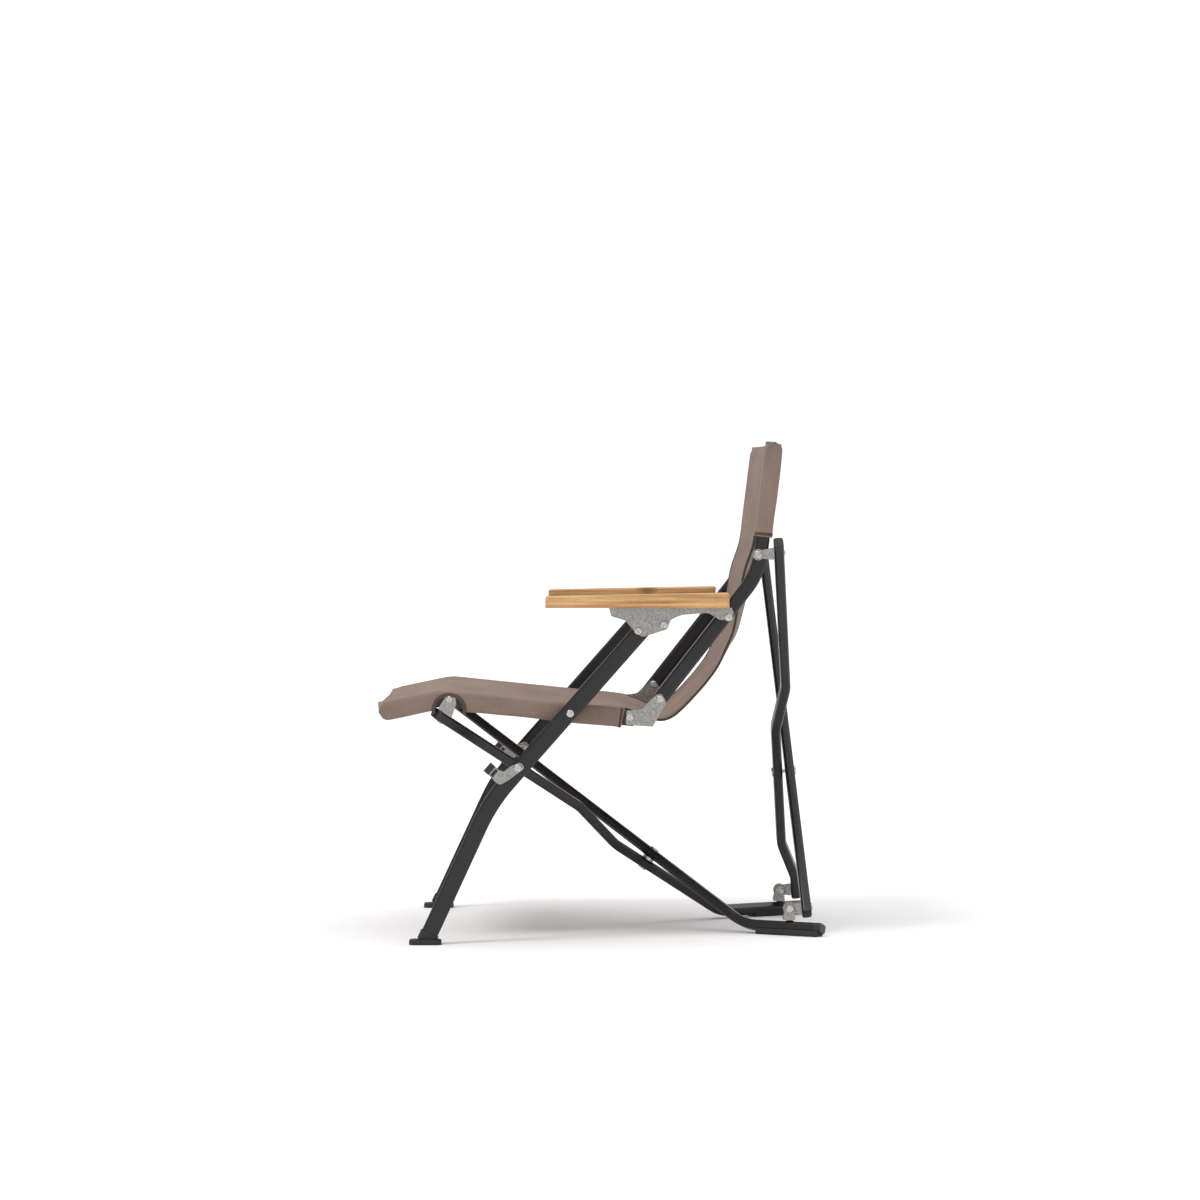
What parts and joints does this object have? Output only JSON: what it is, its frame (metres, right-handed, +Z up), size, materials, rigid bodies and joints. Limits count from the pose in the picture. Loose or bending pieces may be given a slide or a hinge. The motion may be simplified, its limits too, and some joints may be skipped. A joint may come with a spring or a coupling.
{
  "type": "folding camp chair",
  "caption": "Low folding camp chair with a continuous fabric sling seat and back, flat wooden armrests and crossed black tube frame that folds into a bundle.",
  "frame": {"origin": "centre of the bounding box at floor level", "axes": "+Z up, -Y towards the front of the seat, +X towards the sitter's left"},
  "size_m": [0.604, 0.6431, 0.7137],
  "materials": {
    "black_frame": "fine-texture matt black coat on aluminium tube",
    "steel_fitting": "satin tumbled stainless sheet",
    "rivet_steel": "satin stainless rivets and screws",
    "armrest_wood": "oiled light hardwood",
    "sling_fabric": "woven taupe canvas",
    "black_nylon": "moulded black nylon",
    "foot_rubber": "matt black rubber"
  },
  "bodies": {
    "seat_cross": {"seat_cross_rivet": "rivet_steel"},
    "left_seat_tube": {"left_seat_cross_tube": "black_frame", "left_seat_tube_caps": "black_nylon", "left_rear_foot_pads": "foot_rubber", "left_seat_tube_rivet": "rivet_steel"},
    "left_swivel": {"left_front_swivel_bracket": "steel_fitting"},
    "left_rail": {"left_seat_rail": "black_frame", "left_rear_seat_bracket": "steel_fitting", "left_rail_rivets": "rivet_steel", "left_seat_sling": "sling_fabric"},
    "left_post": {"left_back_post": "black_frame", "left_post_plugs": "black_nylon", "left_post_rivets": "rivet_steel", "left_back_sling": "sling_fabric"},
    "left_leg": {"left_front_leg": "black_frame", "left_leg_plug": "black_nylon", "left_front_foot": "foot_rubber", "left_knee_bracket": "steel_fitting", "left_knee_block": "black_nylon", "left_leg_rivets": "rivet_steel"},
    "left_arm": {"left_armrest": "armrest_wood", "left_armrest_bracket": "steel_fitting", "left_armrest_fasteners": "rivet_steel"},
    "left_top_hinge": {"left_back_top_bracket": "steel_fitting"},
    "left_back_tube": {"left_back_cross_tube": "black_frame", "left_back_tube_caps": "black_nylon", "left_back_tube_rivets": "rivet_steel"},
    "left_foot_hinge": {"left_foot_hinge_bracket": "steel_fitting"},
    "left_foot_swivel": {"left_foot_clevis": "steel_fitting", "left_foot_rivet": "rivet_steel"},
    "right_seat_tube": {"right_seat_cross_tube": "black_frame", "right_seat_tube_caps": "black_nylon", "right_rear_foot_pads": "foot_rubber", "right_seat_tube_rivet": "rivet_steel"},
    "right_swivel": {"right_front_swivel_bracket": "steel_fitting"},
    "right_rail": {"right_seat_rail": "black_frame", "right_rear_seat_bracket": "steel_fitting", "right_rail_rivets": "rivet_steel", "right_seat_sling": "sling_fabric"},
    "right_post": {"right_back_post": "black_frame", "right_post_plugs": "black_nylon", "right_post_rivets": "rivet_steel", "right_back_sling": "sling_fabric"},
    "right_leg": {"right_front_leg": "black_frame", "right_leg_plug": "black_nylon", "right_front_foot": "foot_rubber", "right_knee_bracket": "steel_fitting", "right_knee_block": "black_nylon", "right_leg_rivets": "rivet_steel"},
    "right_arm": {"right_armrest": "armrest_wood", "right_armrest_bracket": "steel_fitting", "right_armrest_fasteners": "rivet_steel"},
    "right_top_hinge": {"right_back_top_bracket": "steel_fitting"},
    "right_back_tube": {"right_back_cross_tube": "black_frame", "right_back_tube_caps": "black_nylon", "right_back_tube_rivets": "rivet_steel", "back_cross_rivet": "rivet_steel"},
    "right_foot_hinge": {"right_foot_hinge_bracket": "steel_fitting"},
    "right_foot_swivel": {"right_foot_clevis": "steel_fitting", "right_foot_rivet": "rivet_steel"}
  },
  "joints": [
    {"name": "fold", "type": "hinge", "parent": "seat_cross", "child": "left_seat_tube", "pos_m": [0, 0.075, 0.1069], "axis": [0, -0.5779, -0.8161], "range_deg": [0, 27.9], "deforming": ["left_seat_sling", "left_back_sling", "right_seat_sling", "right_back_sling"]},
    {"name": "left_swivel_turn", "type": "hinge", "parent": "left_seat_tube", "child": "left_swivel", "pos_m": [0.25, -0.22783, 0.32132], "axis": [0, 0.5779, 0.8161], "range_deg": [-1, 28.9]},
    {"name": "left_rail_tilt", "type": "hinge", "parent": "left_swivel", "child": "left_rail", "pos_m": [0.25, -0.218, 0.348], "axis": [1, 0, 0], "range_deg": [-29.31, 1]},
    {"name": "left_post_fold", "type": "hinge", "parent": "left_rail", "child": "left_post", "pos_m": [0.25, 0.0823, 0.3485], "axis": [1, 0, 0], "range_deg": [-1, 112.01]},
    {"name": "left_leg_fold", "type": "hinge", "parent": "left_rail", "child": "left_leg", "pos_m": [0.272, -0.0458, 0.3289], "axis": [1, 0, 0], "range_deg": [-1, 112.01]},
    {"name": "left_arm_fold", "type": "hinge", "parent": "left_post", "child": "left_arm", "pos_m": [0.266, 0.1787, 0.4658], "axis": [1, 0, 0], "range_deg": [-112.01, 1]},
    {"name": "left_top_hinge_tilt", "type": "hinge", "parent": "left_post", "child": "left_top_hinge", "pos_m": [0.25, 0.222, 0.5541], "axis": [1, 0, 0], "range_deg": [-37.29, 1]},
    {"name": "left_back_tube_turn", "type": "hinge", "parent": "left_top_hinge", "child": "left_back_tube", "pos_m": [0.25, 0.25209, 0.556], "axis": [0, 0.9962, 0.0872], "range_deg": [-31.84, 1]},
    {"name": "left_foot_hinge_turn", "type": "hinge", "parent": "right_back_tube", "child": "left_foot_hinge", "pos_m": [0.14602, 0.29723, 0.04], "axis": [0, 0.9962, 0.0872], "range_deg": [-31.84, 1]},
    {"name": "left_foot_swivel_turn", "type": "hinge", "parent": "right_seat_tube", "child": "left_foot_swivel", "pos_m": [0.14602, 0.273, 0.0115], "axis": [0, -0.5779, -0.8161], "range_deg": [-1, 28.9]},
    {"name": "right_seat_tube_turn", "type": "hinge", "parent": "seat_cross", "child": "right_seat_tube", "pos_m": [0, 0.075, 0.1069], "axis": [0, 0.5779, 0.8161], "range_deg": [-1, 28.9]},
    {"name": "right_swivel_turn", "type": "hinge", "parent": "right_seat_tube", "child": "right_swivel", "pos_m": [-0.25, -0.22783, 0.32132], "axis": [0, -0.5779, -0.8161], "range_deg": [-1, 28.9]},
    {"name": "right_rail_tilt", "type": "hinge", "parent": "right_swivel", "child": "right_rail", "pos_m": [-0.25, -0.218, 0.348], "axis": [1, 0, 0], "range_deg": [-29.31, 1]},
    {"name": "right_post_fold", "type": "hinge", "parent": "right_rail", "child": "right_post", "pos_m": [-0.25, 0.0823, 0.3485], "axis": [1, 0, 0], "range_deg": [-1, 112.01]},
    {"name": "right_leg_fold", "type": "hinge", "parent": "right_rail", "child": "right_leg", "pos_m": [-0.272, -0.0458, 0.3289], "axis": [1, 0, 0], "range_deg": [-1, 112.01]},
    {"name": "right_arm_fold", "type": "hinge", "parent": "right_post", "child": "right_arm", "pos_m": [-0.266, 0.1787, 0.4658], "axis": [1, 0, 0], "range_deg": [-112.01, 1]},
    {"name": "right_top_hinge_tilt", "type": "hinge", "parent": "right_post", "child": "right_top_hinge", "pos_m": [-0.25, 0.222, 0.5541], "axis": [1, 0, 0], "range_deg": [-37.29, 1]},
    {"name": "right_back_tube_turn", "type": "hinge", "parent": "right_top_hinge", "child": "right_back_tube", "pos_m": [-0.25, 0.25209, 0.556], "axis": [0, -0.9962, -0.0872], "range_deg": [-31.84, 1]},
    {"name": "right_foot_hinge_turn", "type": "hinge", "parent": "left_back_tube", "child": "right_foot_hinge", "pos_m": [-0.14602, 0.29723, 0.04], "axis": [0, -0.9962, -0.0872], "range_deg": [-31.84, 1]},
    {"name": "right_foot_swivel_turn", "type": "hinge", "parent": "left_seat_tube", "child": "right_foot_swivel", "pos_m": [-0.14602, 0.273, 0.0115], "axis": [0, 0.5779, 0.8161], "range_deg": [-1, 28.9]}
  ],
  "couplings": [
    {"joint": "left_swivel_turn", "follows": "fold", "ratio": 1},
    {"joint": "left_rail_tilt", "follows": "fold", "ratio": -1.0146},
    {"joint": "left_post_fold", "follows": "fold", "ratio": 3.979},
    {"joint": "left_leg_fold", "follows": "fold", "ratio": 3.979},
    {"joint": "left_arm_fold", "follows": "fold", "ratio": -3.979},
    {"joint": "left_top_hinge_tilt", "follows": "fold", "ratio": -1.3008},
    {"joint": "left_back_tube_turn", "follows": "fold", "ratio": -1.1052},
    {"joint": "left_foot_hinge_turn", "follows": "fold", "ratio": -1.1052},
    {"joint": "left_foot_swivel_turn", "follows": "fold", "ratio": 1},
    {"joint": "right_seat_tube_turn", "follows": "fold", "ratio": 1},
    {"joint": "right_swivel_turn", "follows": "fold", "ratio": 1},
    {"joint": "right_rail_tilt", "follows": "fold", "ratio": -1.0146},
    {"joint": "right_post_fold", "follows": "fold", "ratio": 3.979},
    {"joint": "right_leg_fold", "follows": "fold", "ratio": 3.979},
    {"joint": "right_arm_fold", "follows": "fold", "ratio": -3.979},
    {"joint": "right_top_hinge_tilt", "follows": "fold", "ratio": -1.3008},
    {"joint": "right_back_tube_turn", "follows": "fold", "ratio": -1.1052},
    {"joint": "right_foot_hinge_turn", "follows": "fold", "ratio": -1.1052},
    {"joint": "right_foot_swivel_turn", "follows": "fold", "ratio": 1}
  ]
}
